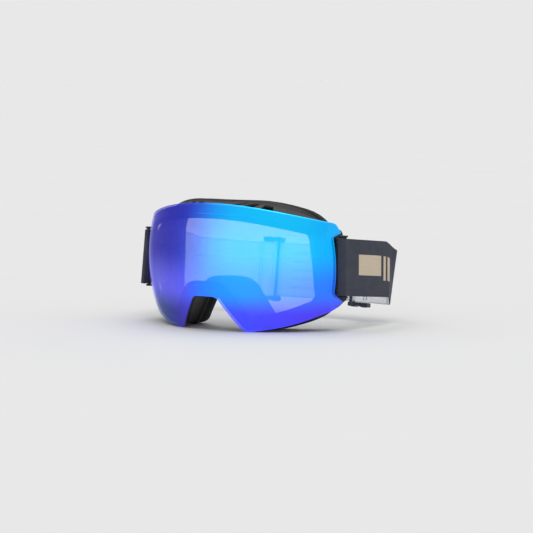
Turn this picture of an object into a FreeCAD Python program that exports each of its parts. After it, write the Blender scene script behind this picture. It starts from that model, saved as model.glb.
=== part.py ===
"""Ski goggles: a frameless magnetic mirror lens, a flexible frame, layered face foam and an elastic strap.

Working frame, in millimetres: the wearer looks along -Y, +X is the wearer's left, +Z is up, and the origin is
the front of the lens at mid height. place() moves every piece so that the row frame's origin is at the middle
of the bounding box's underside.

The front of the lens is a surface of revolution: an arc of LENS_ARC_R in the vertical plane, turned about a
vertical axis LENS_TURN_R behind the lens. "Depth" is the distance behind that surface, along its normal.
"""

import FreeCAD, Part
import math
import os

from FreeCAD import Vector

# ---------------------------------------------------------------- driving dimensions
LENS_TURN_R = 101.0  # the lens's radius seen from above
LENS_ARC_R = 134.0  # the lens's radius seen from the side
LENS_T = 1.6
SPACER_T = 2.7
INNER_LENS_T = 1.0
GLUE = 0.05  # gap between glued faces of one body
SEAT_GAP = 0.3  # between the lens assembly and the frame
CARRIER_BACK = 5.4  # depth of the carrier's back face
SEAT_T = 2.6  # thickness of the frame's front seat
WALL_T = 2.4  # thickness of the frame's side walls

FACE_R = 105.0  # radius of the face line seen from above
FLANGE_Y = 30.0  # the flange's front at the centre of the face line
FLANGE_T = 2.2
FOAM_BASE_T = 8.0
FOAM_MID_T = 4.6
FLEECE_T = 1.8
FOAM_WIDTH = 11.5

WEB_W = 44.0  # strap webbing
WEB_T = 1.4
STRAP_Z = -3.0  # height of the strap's middle where it leaves the outrigger
DROOP = math.radians(8.0)  # the strap's slope, falling towards the back

PIN_X, PIN_Y, PIN_R = 86.0, 59.0, 1.0
BAR_X, BAR_Y, BAR_R = 93.6, 57.5, 1.4
BARREL_R = 2.2
CHEEK_T = 1.3
CHEEK_R = 2.4
CHEEK_GAP = 0.7
LUG_T = 2.5

LOOP_R = BAR_R + 0.1 + WEB_T / 2  # centreline of the webbing round the outrigger's bar
OUTER_X = BAR_X + LOOP_R  # the strap's outer layer beside the head
CORNER_R = 10.0
CORNER_Y = 123.2
BACK_Y = CORNER_Y + CORNER_R  # centreline of the outer layer across the back
LAYER_STEP = 1.8  # from the outer layer's centreline to the return layer's
LOOP_END_Y = 69.5
LOOP_GAP = 2.0  # between the loop on the outrigger and the webbing solids that go on from it
END_GAP = 1.0  # between the slider's end of the webbing and the return layer, at the end of its travel

SLIDER_X = {"left": 62.5, "right": 23.4}  # how far each slider's middle is from the middle of the back
SLIDER_W = 18.0
SLIDER_TRAVEL = 8.0
SLIDER_RAIL = 3.6
SLIDER_BAR = 3.0
SLIDER_BAR_T = 1.5
END_BAR_R = 0.9
END_R = END_BAR_R + 0.1 + WEB_T / 2  # centreline of the webbing round the slider's middle bar
END_LEG, END_TAIL = 13.5, 12.0
SLIDER_BACK_Y = BACK_Y + WEB_T / 2 + 0.25 + 1.2

# Half outlines seen from the front, as (x, z, corner radius), from the top middle to the bottom middle.
LENS = [
    (42.0, 45.4, 238.0),
    (85.9, 30.2, 5.0),
    (88.9, 24.2, 3.0),
    (88.5, -30.2, 2.0),
    (83.6, -37.4, 9.0),
    (62.0, -48.4, 90.0),
    (28.7, -54.1, 8.0),
    (10.6, -26.3, 7.0),
]
FACE = [
    (40.0, 47.2, 150.0),
    (80.0, 34.6, 22.0),
    (84.0, -4.0, 150.0),
    (79.0, -39.5, 24.0),
    (53.0, -52.0, 60.0),
    (29.0, -53.4, 11.0),
    (11.5, -24.0, 9.0),
]
# The side notch that the outrigger sits in: its inner corners, the middle of its curved edge, and its mouth.
NOTCH_TOP, NOTCH_MID, NOTCH_LOW = (86.0, 19.4), (87.9, -2.5), (86.0, -24.3)
NOTCH_MOUTH = [(92.0, 26.3), (92.0, -40.0)]

MAGNET_R, MAGNET_T = 2.5, 1.4
MAGNET_SPOTS = [(20.0, 39.8), (60.0, 33.1), (72.0, -37.9), (45.0, -46.2)]
TOP_VENTS_X = [8.5, 25.5, 42.5]
LOW_VENTS_X = [38.0, 52.0]
VENT_W = 12.0
FOAM_OVERLAP = 3.5  # how far the vent foam runs past its slots

UP = Vector(0, 0, 1)
FAR = 100.0  # longer than any cut has to be


# ---------------------------------------------------------------- outlines
def at(x, z, y=0.0):
    return Vector(x, y, z)


def rounded_wire(corners, closed=True):
    """Lines joined by tangent arcs through (point, radius) corners."""
    n = len(corners)
    edges, last, first = [], None, None
    for i, (p, r) in enumerate(corners):
        if not closed and i in (0, n - 1):
            start = end = p
        else:
            a = (corners[i - 1][0] - p).normalize()
            b = (corners[(i + 1) % n][0] - p).normalize()
            half = a.getAngle(b) / 2
            cut = r / math.tan(half)
            start, end = p + a * cut, p + b * cut
        if last is not None and (start - last).Length > 1e-6:
            edges.append(Part.LineSegment(last, start).toShape())
        if start != end:
            middle = p + (a + b).normalize() * (r / math.sin(half) - r)
            edges.append(Part.Arc(start, middle, end).toShape())
        first = first or start
        last = end
    if closed and (first - last).Length > 1e-6:
        edges.append(Part.LineSegment(last, first).toShape())
    return Part.Wire(edges)


def outline(half, inset=0.0):
    """The closed outline of a half list and its mirror image, moved in by inset."""
    right = [(at(x, z), r) for x, z, r in half]
    left = [(at(-x, z), r) for x, z, r in reversed(half)]
    wire = rounded_wire(right + left)
    return wire.makeOffset2D(-inset) if inset else wire


def prism(wire, start=-20.0, length=140.0):
    face = Part.Face(wire)
    face.translate(Vector(0, start, 0))
    return face.extrude(Vector(0, length, 0))


def ring(outer, inner):
    return prism(outer).cut(prism(inner))


def box(x0, x1, y0, y1, z0, z1):
    return Part.makeBox(x1 - x0, y1 - y0, z1 - z0, Vector(x0, y0, z0))


def rod(x, y, r, z0, z1):
    return Part.makeCylinder(r, z1 - z0, Vector(x, y, z0), UP)


def mirror(shape):
    return shape.mirror(Vector(0, 0, 0), Vector(1, 0, 0))


def both(shape):
    return [shape, mirror(shape)]


# ---------------------------------------------------------------- curved surfaces
def behind_lens(depth):
    """Everything behind the surface that lies depth behind the lens's front."""
    r = LENS_ARC_R - depth
    centre_x = LENS_TURN_R - LENS_ARC_R
    reach = 66.0
    edge_x = centre_x + math.sqrt(r * r - reach * reach)
    top, low = Vector(edge_x, 0, reach), Vector(edge_x, 0, -reach)
    profile = Part.Wire([
        Part.Arc(low, Vector(centre_x + r, 0, 0), top).toShape(),
        Part.LineSegment(top, Vector(0, 0, reach)).toShape(),
        Part.LineSegment(Vector(0, 0, reach), Vector(0, 0, -reach)).toShape(),
        Part.LineSegment(Vector(0, 0, -reach), low).toShape(),
    ])
    solid = Part.Face(profile).revolve(Vector(0, 0, 0), UP, 360)
    solid.rotate(Vector(0, 0, 0), UP, 90)
    solid.translate(Vector(0, LENS_TURN_R, 0))
    return solid


def lens_layer(front, back):
    return behind_lens(front).cut(behind_lens(back))


def on_lens(x, z, depth):
    """The point at (x, z) on the surface at this depth, and the outward normal there."""
    arc_r = LENS_ARC_R - depth
    tilt = math.asin(z / arc_r)
    ring_r = LENS_TURN_R - LENS_ARC_R + arc_r * math.cos(tilt)
    turn = math.asin(x / ring_r)
    normal = Vector(math.cos(tilt) * math.sin(turn), -math.cos(tilt) * math.cos(turn), math.sin(tilt))
    return Vector(x, LENS_TURN_R - ring_r * math.cos(turn), z), normal


def face_line(x):
    """How far the face line lies behind its middle at x."""
    return FACE_R - math.sqrt(FACE_R * FACE_R - x * x)


def in_front_of_face(y):
    """Everything in front of the face line that crosses the middle at y."""
    front = box(-FAR, FAR, -FAR, y + FACE_R, -FAR, FAR)
    return front.cut(rod(0, y + FACE_R, FACE_R, -FAR, FAR))


def face_layer(front, back):
    return in_front_of_face(back).cut(in_front_of_face(front))


# ---------------------------------------------------------------- lens assembly
def notch():
    corners = [NOTCH_TOP, *NOTCH_MOUTH, NOTCH_LOW]
    points = [at(*c) for c in corners]
    edges = [Part.LineSegment(a, b).toShape() for a, b in zip(points, points[1:])]
    edges.append(Part.Arc(points[-1], at(*NOTCH_MID), points[0]).toShape())
    return prism(Part.Wire(edges))


def outer_lens():
    blank = lens_layer(0, LENS_T).common(prism(outline(LENS), length=100.0))
    for cut in both(notch()):
        blank = blank.cut(cut)
    return blank


def lens_carrier():
    """The stiff ring that is glued behind the lens and holds its magnets."""
    body = lens_layer(LENS_T + GLUE, CARRIER_BACK)
    body = body.common(ring(outline(LENS, 1.2), outline(LENS, 8.0)))
    body = body.common(box(-FAR, FAR, -20, 75, -FAR, FAR))
    for room in both(box(82.4, FAR, 0, FAR, -28.8, 23.2)):
        body = body.cut(room)
    for magnet in magnets(CARRIER_BACK - 0.2, MAGNET_R + 0.1, MAGNET_T + 0.1):
        body = body.cut(magnet)
    return body


def lens_spacer():
    back = LENS_T + GLUE + SPACER_T
    body = lens_layer(LENS_T + GLUE, back)
    return body.common(ring(outline(LENS, 8.3), outline(LENS, 11.8)))


def inner_lens():
    front = LENS_T + SPACER_T + 2 * GLUE
    return lens_layer(front, front + INNER_LENS_T).common(prism(outline(LENS, 8.3), length=100.0))


def magnets(depth, radius=MAGNET_R, thickness=MAGNET_T):
    """Discs whose back face is at depth, at every magnet spot on both sides."""
    made = []
    for x, z in MAGNET_SPOTS:
        point, normal = on_lens(x, z, depth)
        made += both(Part.makeCylinder(radius, thickness, point, normal))
    return made


# ---------------------------------------------------------------- frame
SEAT_FRONT = CARRIER_BACK + SEAT_GAP
POCKET = (83.3, FAR, 40.0, 64.2, -28.6, 22.2)
STRAP_TOP = STRAP_Z + WEB_W / 2
STRAP_LOW = STRAP_Z - WEB_W / 2
CHEEKS = [
    (STRAP_TOP + CHEEK_GAP, STRAP_TOP + CHEEK_GAP + CHEEK_T),
    (STRAP_LOW - CHEEK_GAP - CHEEK_T, STRAP_LOW - CHEEK_GAP),
]
LUGS = [(STRAP_TOP - 2.7, STRAP_TOP - 2.7 + LUG_T), (STRAP_LOW + 1.2, STRAP_LOW + 1.2 + LUG_T)]
BARREL = (LUGS[1][1] + 0.3, LUGS[0][0] - 0.3)


def vents(xs, top):
    """One slot through the wall for each x, half way between the seat and the flange."""
    cuts = []
    for x in xs:
        edge, _ = on_lens(x, 40.0 if top else -44.0, SEAT_FRONT + SEAT_T)
        front, back = edge.y + 1.5, FLANGE_Y + face_line(x - VENT_W / 2) - 2.0
        z0, z1 = (20.0, 60.0) if top else (-60.0, -30.0)
        cuts += both(box(x - VENT_W / 2, x + VENT_W / 2, front, back, z0, z1))
    return cuts


def frame():
    wall = ring(outline(LENS, 2.0), outline(LENS, 2.0 + WALL_T))
    pads = both(box(POCKET[0] - 3.1, PIN_X, 45, 90, POCKET[4] - WALL_T, POCKET[5] + WALL_T))
    wall = wall.fuse(pads).common(prism(outline(LENS, 2.0)))
    wall = wall.common(behind_lens(SEAT_FRONT)).common(in_front_of_face(FLANGE_Y + FLANGE_T))
    seat = lens_layer(SEAT_FRONT, SEAT_FRONT + SEAT_T)
    seat = seat.common(ring(outline(LENS, 2.0), outline(LENS, 8.0)))
    seat = seat.common(in_front_of_face(FLANGE_Y + FLANGE_T))
    flange = face_layer(FLANGE_Y, FLANGE_Y + FLANGE_T).common(ring(outline(FACE), outline(FACE, FOAM_WIDTH)))
    body = wall.fuse([seat, flange])
    for room in both(box(*POCKET)):
        body = body.cut(room)
    lugs = []
    for z0, z1 in LUGS:
        lug = rod(PIN_X, PIN_Y, BARREL_R, z0, z1).fuse(
            box(81.5, PIN_X, PIN_Y - BARREL_R, PIN_Y + BARREL_R, z0, z1)
        )
        lugs += both(lug)
    body = body.fuse(lugs)
    cuts = vents(TOP_VENTS_X, True) + vents(LOW_VENTS_X, False)
    cuts += magnets(SEAT_FRONT + 1.7, MAGNET_R + 0.1, MAGNET_T + 2.0)
    cuts += both(rod(PIN_X, PIN_Y, PIN_R + 0.01, LUGS[1][0] - 1, LUGS[0][1] + 1))
    for cut in cuts:
        body = body.cut(cut)
    return body.removeSplitter()


def vent_foam(top):
    """The foam strips inside the wall, behind its slots."""
    strip = ring(outline(LENS, 2.1 + WALL_T), outline(LENS, 4.9 + WALL_T))
    strip = strip.common(behind_lens(SEAT_FRONT + SEAT_T + 0.1)).common(in_front_of_face(FLANGE_Y - 0.1))
    if top:
        reach = TOP_VENTS_X[-1] + VENT_W / 2 + FOAM_OVERLAP
        return strip.common(box(-reach, reach, 0, FAR, 20, 60))
    start, end = LOW_VENTS_X[0] - VENT_W / 2 - FOAM_OVERLAP, LOW_VENTS_X[-1] + VENT_W / 2 + FOAM_OVERLAP
    left = strip.common(box(start, end, 0, FAR, -60, -28))
    return Part.makeCompound(both(left))


def face_pad(front, thickness, inset, narrower):
    layer = face_layer(front, front + thickness)
    return layer.common(ring(outline(FACE, inset), outline(FACE, FOAM_WIDTH - narrower)))


# ---------------------------------------------------------------- outriggers
def outrigger():
    """The left one: a barrel on the frame's pin, a web, and two cheeks that hold the strap's bar."""
    z_low, z_high = CHEEKS[1][0], CHEEKS[0][1]
    body = rod(PIN_X, PIN_Y, BARREL_R, *BARREL)
    body = body.fuse(box(PIN_X, 90.2, PIN_Y - 1.0, PIN_Y + 2.0, *BARREL))
    body = body.fuse(box(88.0, 90.2, PIN_Y - 1.0, PIN_Y + 2.0, z_low, z_high))
    for z0, z1 in CHEEKS:
        body = body.fuse(rod(BAR_X, BAR_Y, CHEEK_R, z0, z1))
        body = body.fuse(box(88.2, BAR_X, BAR_Y - 1.4, BAR_Y + CHEEK_R, z0, z1))
    body = body.fuse(rod(BAR_X, BAR_Y, BAR_R, z_low, z_high))
    for z0, z1 in LUGS:
        body = body.cut(rod(PIN_X, PIN_Y, BARREL_R + 0.3, z0 - 0.3, z1 + 0.3))
    return body.cut(rod(PIN_X, PIN_Y, PIN_R + 0.05, z_low, z_high)).removeSplitter()


def hinge_pin():
    return rod(PIN_X, PIN_Y, PIN_R, LUGS[1][0], LUGS[0][1])


# ---------------------------------------------------------------- strap
def webbing(points, width=WEB_W, thickness=WEB_T, middle=STRAP_Z):
    """Webbing on edge along a route seen from above, given as (x, y, corner radius), falling back at DROOP.

    The route is drawn longer by the slope, so that it is right seen from above once it is tipped.
    """
    stretched = [(Vector(x, BAR_Y + (y - BAR_Y) / math.cos(DROOP), 0), r) for x, y, r in points]
    wire = rounded_wire(stretched, closed=False)
    side = wire.makeOffset2D(-thickness / 2, 0, False, True)
    face = side.makeOffset2D(thickness, 0, True, True)
    face.rotate(Vector(0, BAR_Y, 0), Vector(1, 0, 0), -math.degrees(DROOP))
    face.translate(Vector(0, 0, middle - width / 2))
    return face.extrude(Vector(0, 0, width))


def strap_loop():
    """The end of the webbing round the outrigger's bar."""
    inner_x, turn_y = BAR_X - LOOP_R, BAR_Y - LOOP_R
    return webbing([
        (OUTER_X, LOOP_END_Y, 0),
        (OUTER_X, turn_y, LOOP_R * 0.999),
        (inner_x, turn_y, LOOP_R * 0.999),
        (inner_x, LOOP_END_Y, 0),
    ])


def strap_band():
    """The outer layer, from one side round the back to the other."""
    half = [(OUTER_X, LOOP_END_Y + LOOP_GAP, 0), (OUTER_X, BACK_Y, CORNER_R)]
    return webbing(half + [(-x, y, r) for x, y, r in reversed(half)])


def strap_return(slider_x):
    """The inner layer, from the loop to where the slider's end of it begins."""
    inner_x = OUTER_X - LAYER_STEP
    return webbing([
        (BAR_X - LOOP_R, LOOP_END_Y + LOOP_GAP, 0),
        (BAR_X - LOOP_R, 78.0, 20.0),
        (inner_x, 96.0, 20.0),
        (inner_x, BACK_Y - LAYER_STEP, CORNER_R - LAYER_STEP),
        (slider_x + END_LEG + SLIDER_TRAVEL + END_GAP, BACK_Y - LAYER_STEP, 0),
    ])


def strap_end(slider_x):
    """The inner layer's end, round the slider's middle bar and sewn back on itself."""
    outer_y = BACK_Y - LAYER_STEP
    inner_y = outer_y - 2 * END_R
    turn_x = slider_x - END_R
    return webbing([
        (slider_x + END_LEG, outer_y, 0),
        (turn_x, outer_y, END_R * 0.999),
        (turn_x, inner_y, END_R * 0.999),
        (slider_x + END_TAIL, inner_y, 0),
    ])


def back_middle_z():
    return STRAP_Z - (BACK_Y - BAR_Y) * math.tan(DROOP)


def strap_slider(slider_x):
    """A ladder slider: two rails, three bars inside the strap and two outside it."""
    z_mid = back_middle_z()
    inner_y = BACK_Y - LAYER_STEP - END_R  # middle of the inner bars
    half_h = WEB_W / 2 + 1.1
    x0, x1 = slider_x - SLIDER_W / 2, slider_x + SLIDER_W / 2
    body = rod(slider_x, inner_y, END_BAR_R, z_mid - half_h, z_mid + half_h)
    for z0 in (z_mid - half_h - SLIDER_RAIL, z_mid + half_h):
        body = body.fuse(box(x0, x1, inner_y - 1.4, SLIDER_BACK_Y, z0, z0 + SLIDER_RAIL))
    for x in (x0, x1 - SLIDER_BAR):
        inner = box(x, x + SLIDER_BAR, inner_y - SLIDER_BAR_T / 2, inner_y + SLIDER_BAR_T / 2,
                    z_mid - half_h, z_mid + half_h)
        outer = box(x, x + SLIDER_BAR, SLIDER_BACK_Y - 1.2, SLIDER_BACK_Y, z_mid - half_h, z_mid + half_h)
        body = body.fuse([inner, outer])
    return body.removeSplitter()


def grip_strips():
    """Silicone ribs on the inside of the strap across the back, between the two sliders' travels."""
    clear = SLIDER_W / 2 + SLIDER_TRAVEL + 3.0
    x0, x1 = clear - SLIDER_X["right"], SLIDER_X["left"] - clear
    front = BACK_Y - WEB_T / 2 - 0.6
    z_mid = back_middle_z()
    strips = []
    for z in (-14, -7, 0, 7, 14):
        strips.append(box(x0, x1, front, front + 0.55, z_mid + z - 1.5, z_mid + z + 1.5))
    return Part.makeCompound(strips)


# ---------------------------------------------------------------- nodes
FLOOR_Z = outline(LENS).BoundBox.ZMin
ORIGIN = Vector(0, SLIDER_BACK_Y / 2, FLOOR_Z)
FOAM_Y = FLANGE_Y + FLANGE_T + GLUE


def nodes():
    made = {
        "outer_lens": outer_lens(),
        "lens_carrier": lens_carrier(),
        "lens_spacer": lens_spacer(),
        "inner_lens": inner_lens(),
        "lens_magnets": Part.makeCompound(magnets(CARRIER_BACK - 0.25)),
        "frame": frame(),
        "frame_magnets": Part.makeCompound(magnets(SEAT_FRONT + 1.65)),
        "vent_foam_top": vent_foam(True),
        "vent_foam_bottom": vent_foam(False),
        "foam_base": face_pad(FOAM_Y, FOAM_BASE_T, 0.6, 0.4),
        "foam_middle": face_pad(FOAM_Y + FOAM_BASE_T + GLUE, FOAM_MID_T, 0.9, 0.6),
        "fleece_lining": face_pad(FOAM_Y + FOAM_BASE_T + FOAM_MID_T + 2 * GLUE, FLEECE_T, 1.4, 1.0),
        "strap_band": strap_band(),
        "grip_strips": grip_strips(),
    }
    for name, make in (("outrigger", outrigger), ("hinge_pin", hinge_pin), ("strap_loop", strap_loop)):
        made[name + "_left"], made[name + "_right"] = both(make())
    for name, make in (("strap_return", strap_return), ("strap_end", strap_end), ("strap_slider", strap_slider)):
        made[name + "_left"] = make(SLIDER_X["left"])
        made[name + "_right"] = mirror(make(SLIDER_X["right"]))
    return made


def place(shape):
    moved = shape.copy()
    moved.translate(-ORIGIN)
    return moved


def main():
    os.makedirs("parts", exist_ok=True)
    for name, shape in nodes().items():
        moved = place(shape)
        bad = [s for s in moved.Solids if not s.isValid() or s.Volume <= 0]
        print(f"{name}: {len(moved.Solids)} solids, {moved.Volume / 1000:.2f} cm3{' BAD' if bad else ''}")
        moved.exportStep(f"parts/{name}.step")
    pin = place(Part.Vertex(PIN_X, PIN_Y, 0)).Point
    print("strap's back face", place(strap_band()).BoundBox.YMax, "its middle", back_middle_z() - FLOOR_Z)
    print("hinge pin at", tuple(round(v, 3) for v in pin), "floor", FLOOR_Z, "origin", tuple(ORIGIN))


main()
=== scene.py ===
"""Looks for the ski goggles: mirror lens, moulded frame, foam, fleece, webbing strap, sliders and studio.

Sizes are in millimetres in the goggles' own frame, whose origin is the front of the lens at mid height:
+X is the wearer's left, +Y the way back to the head and +Z up. here() takes such a point to the CAD frame,
which is in metres.
"""

import math

import bmesh
import bpy
from mathutils import Matrix, Vector
from mathutils.geometry import delaunay_2d_cdt


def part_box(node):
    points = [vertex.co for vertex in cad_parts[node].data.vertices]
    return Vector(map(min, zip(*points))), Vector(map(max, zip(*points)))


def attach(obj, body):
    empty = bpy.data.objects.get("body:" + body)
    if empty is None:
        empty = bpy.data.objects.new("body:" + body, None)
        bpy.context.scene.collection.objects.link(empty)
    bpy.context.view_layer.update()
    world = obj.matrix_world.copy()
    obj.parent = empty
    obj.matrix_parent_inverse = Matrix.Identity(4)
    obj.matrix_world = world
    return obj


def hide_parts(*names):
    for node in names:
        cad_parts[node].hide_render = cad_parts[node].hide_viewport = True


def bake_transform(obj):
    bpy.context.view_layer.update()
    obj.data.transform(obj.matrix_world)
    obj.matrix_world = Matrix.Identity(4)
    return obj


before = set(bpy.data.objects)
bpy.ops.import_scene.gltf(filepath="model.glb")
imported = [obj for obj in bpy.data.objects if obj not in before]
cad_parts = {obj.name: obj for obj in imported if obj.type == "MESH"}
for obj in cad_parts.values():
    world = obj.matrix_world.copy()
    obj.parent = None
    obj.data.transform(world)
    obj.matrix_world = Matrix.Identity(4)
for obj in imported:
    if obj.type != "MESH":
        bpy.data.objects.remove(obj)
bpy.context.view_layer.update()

MM = 0.001  # metres in a millimetre

# ---------------------------------------------------------------- sizes, as in the CAD model
LENS_TURN_R, LENS_ARC_R, LENS_T = 101.0, 134.0, 1.6
LENS_TOP = 45.4
INNER_LENS_DEPTH, INNER_LENS_T = 4.4, 1.0
SEAT_DEPTH, SEAT_T, WALL_T = 5.7, 2.6, 2.4
FACE_R = 105.0
FLANGE_Y, FLANGE_T = 30.0, 2.2
FOAM_BASE = (32.25, 40.25)
FOAM_MIDDLE = (40.3, 44.9)
FLEECE = (44.95, 46.9)
FOAM_WIDTH = 11.5
WEB_W, WEB_T = 44.0, 1.4
STRAP_Z = -3.0
BAR_X, BAR_Y = 93.6, 57.5
PIN_X, PIN_Y = 86.0, 59.0
LUG_R, LUG_T, LUG_REACH = 2.2, 2.5, 7.6
LOOP_R = 2.2
OUTER_X = BAR_X + LOOP_R
BACK_Y, CORNER_R, LAYER_STEP = 133.2, 10.0, 1.8
SLIDER_X = {"left": 62.5, "right": 23.4}
SLIDER_W, END_R, SLIDER_TRAVEL = 18.0, 1.7, 8.0

# Half outlines seen from the front, as (x, z, corner radius), from the top middle to the bottom middle. Both
# have the same number of corners, so that a wall can turn from one into the other.
LENS = [
    (42.0, 45.4, 238.0), (85.9, 30.2, 5.0), (88.9, 24.2, 3.0), (88.5, -30.2, 2.0),
    (83.6, -37.4, 9.0), (62.0, -48.4, 90.0), (28.7, -54.1, 8.0), (10.6, -26.3, 7.0),
]
FACE = [
    (38.0, 47.2, 105.0), (66.5, 37.8, 26.0), (75.2, 22.0, 24.0), (80.0, -29.0, 22.0),
    (71.0, -43.0, 22.0), (53.0, -52.0, 60.0), (29.0, -53.4, 11.0), (11.5, -24.0, 9.0),
]
# The lens's own outline also has the side notch that the outrigger sits in.
NOTCHED = LENS[:2] + [
    (88.9, 22.7, 1.0), (86.0, 19.4, 1.2), (89.8, -2.4, 118.0), (86.0, -24.3, 1.2), (88.6, -30.6, 1.2),
] + LENS[4:]

LENS_LOW, LENS_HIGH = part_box("outer_lens")
HOME = Vector((0.0, LENS_LOW.y, LENS_HIGH.z - LENS_TOP * MM))


def here(point):
    return HOME + Vector(point) * MM


# ---------------------------------------------------------------- outlines
def rounded(corners, closed, steps=None, step=1.5):
    """Points of lines joined by tangent arcs, and how many steps each line and arc took."""
    n = len(corners)
    points, taken = [], [0] * (2 * n)
    for i, (x, y, r) in enumerate(corners):
        p = Vector((x, y))
        if not closed and i in (0, n - 1):
            arc = [p]
        else:
            a = (Vector(corners[i - 1][:2]) - p).normalized()
            b = (Vector(corners[(i + 1) % n][:2]) - p).normalized()
            half = a.angle(b) / 2
            turn = math.pi - 2 * half
            middle = p + (a + b).normalized() * (r / math.sin(half))
            start = p + a * (r / math.tan(half)) - middle
            sign = 1 if a.x * b.y - a.y * b.x < 0 else -1
            count = steps[2 * i] if steps else max(4, round(r * turn / step))
            taken[2 * i] = count
            arc = []
            for k in range(count + 1):
                t = sign * turn * k / count
                c, s = math.cos(t), math.sin(t)
                arc.append(middle + Vector((start.x * c - start.y * s, start.x * s + start.y * c)))
        points.append(arc)
    out = []
    for i, arc in enumerate(points):
        out += arc
        if closed or i < n - 1:
            end = points[(i + 1) % n][0]
            count = steps[2 * i + 1] if steps else max(1, round((end - arc[-1]).length / step))
            out += [arc[-1].lerp(end, k / count) for k in range(1, count)]
            taken[2 * i + 1] = count
    return out, taken


def mirrored(half):
    return half + [(-x, z, r) for x, z, r in reversed(half)]


def inset_corners(corners, inset):
    """The corners moved in by inset. Their radii shrink by it at outward corners and grow at inward ones."""
    n = len(corners)
    moved = []
    for i, (x, z, r) in enumerate(corners):
        p = Vector((x, z))
        d1 = (p - Vector(corners[i - 1][:2])).normalized()
        d2 = (Vector(corners[(i + 1) % n][:2]) - p).normalized()
        n1, n2 = Vector((d1.y, -d1.x)), Vector((d2.y, -d2.x))
        shift = (n1 + n2) / (1 + n1.dot(n2)) * inset
        outward = d1.x * d2.y - d1.y * d2.x < 0
        moved.append((x + shift.x, z + shift.y, max(r - inset, 0.5) if outward else r + inset))
    return moved


STEPS = {}


def loop(half, inset=0.0, half2=None, mix=0.0):
    """Evenly counted (x, z) points of a mirrored outline, mixed with a second one and moved in by inset."""
    key = (tuple(half), half2 is not None)
    base = mirrored(half)
    if key not in STEPS:
        STEPS[key] = rounded(base, True)[1]
    if mix:
        base = [tuple(a + (b - a) * mix for a, b in zip(p, q)) for p, q in zip(base, mirrored(half2))]
    return rounded(inset_corners(base, inset), True, STEPS[key])[0]


# ---------------------------------------------------------------- curved surfaces
def on_lens(depth):
    """y on the surface that lies depth behind the lens's front."""
    def y(x, z):
        ring_r = LENS_TURN_R - LENS_ARC_R + math.sqrt((LENS_ARC_R - depth) ** 2 - z * z)
        return LENS_TURN_R - math.sqrt(max(ring_r * ring_r - x * x, 1.0))
    return y


def on_face(start):
    """y on the face line that crosses the middle at start."""
    def y(x, z):
        return start + FACE_R - math.sqrt(FACE_R * FACE_R - x * x)
    return y


def between(a, b, t):
    return lambda x, z: a(x, z) * (1 - t) + b(x, z) * t


def lens_normal(x, z):
    tilt = math.asin(z / LENS_ARC_R)
    turn = math.asin(x / (LENS_TURN_R - LENS_ARC_R + LENS_ARC_R * math.cos(tilt)))
    return Vector((math.cos(tilt) * math.sin(turn), -math.cos(tilt) * math.cos(turn), math.sin(tilt)))


# ---------------------------------------------------------------- mesh helpers
def new_object(name, verts, faces, smooth=True, in_place=False):
    mesh = bpy.data.meshes.new(name)
    mesh.from_pydata([v if in_place else here(v) for v in verts], [], faces)
    bm = bmesh.new()
    bm.from_mesh(mesh)
    bmesh.ops.recalc_face_normals(bm, faces=bm.faces)
    bm.to_mesh(mesh)
    bm.free()
    mesh.polygons.foreach_set("use_smooth", [smooth] * len(mesh.polygons))
    obj = bpy.data.objects.new(name, mesh)
    bpy.context.scene.collection.objects.link(obj)
    return obj


def ring_faces(rows, count, closed=True):
    """Quads between rows of count points that each go round; closed also joins the last row to the first."""
    faces = []
    for j in range(rows if closed else rows - 1):
        i = (j + 1) % rows
        for k in range(count):
            n = (k + 1) % count
            faces.append((j * count + k, j * count + n, i * count + n, i * count + k))
    return faces


def settle(bm, name, mirror):
    """The mesh as a new object, turned over to the wearer's right where mirror is -1."""
    if mirror < 0:
        bmesh.ops.scale(bm, vec=(-1, 1, 1), verts=bm.verts)
        bmesh.ops.reverse_faces(bm, faces=bm.faces)
    mesh = bpy.data.meshes.new(name)
    bm.to_mesh(mesh)
    bm.free()
    mesh.polygons.foreach_set("use_smooth", [True] * len(mesh.polygons))
    obj = bpy.data.objects.new(name, mesh)
    bpy.context.scene.collection.objects.link(obj)
    return obj


def apply_modifiers(obj):
    graph = bpy.context.evaluated_depsgraph_get()
    mesh = bpy.data.meshes.new_from_object(obj.evaluated_get(graph))
    obj.modifiers.clear()
    obj.data = mesh
    return obj


def moulded(name, obj, voxel, passes=4):
    """obj as one soft-edged moulding: its shells are merged, and its edges rounded over."""
    obj.name = name
    remesh = obj.modifiers.new("merge", "REMESH")
    remesh.mode = "VOXEL"
    remesh.voxel_size = voxel * MM
    soften = obj.modifiers.new("round", "SMOOTH")
    soften.factor, soften.iterations = 0.5, passes
    apply_modifiers(obj)
    obj.data.polygons.foreach_set("use_smooth", [True] * len(obj.data.polygons))
    return obj


def finish_piece(obj, body, material, replaced=(), ride=True):
    obj.data.materials.clear()
    obj.data.materials.append(material)
    if replaced:
        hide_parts(*replaced)
    if ride:
        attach(obj, body)
    return obj


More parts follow.
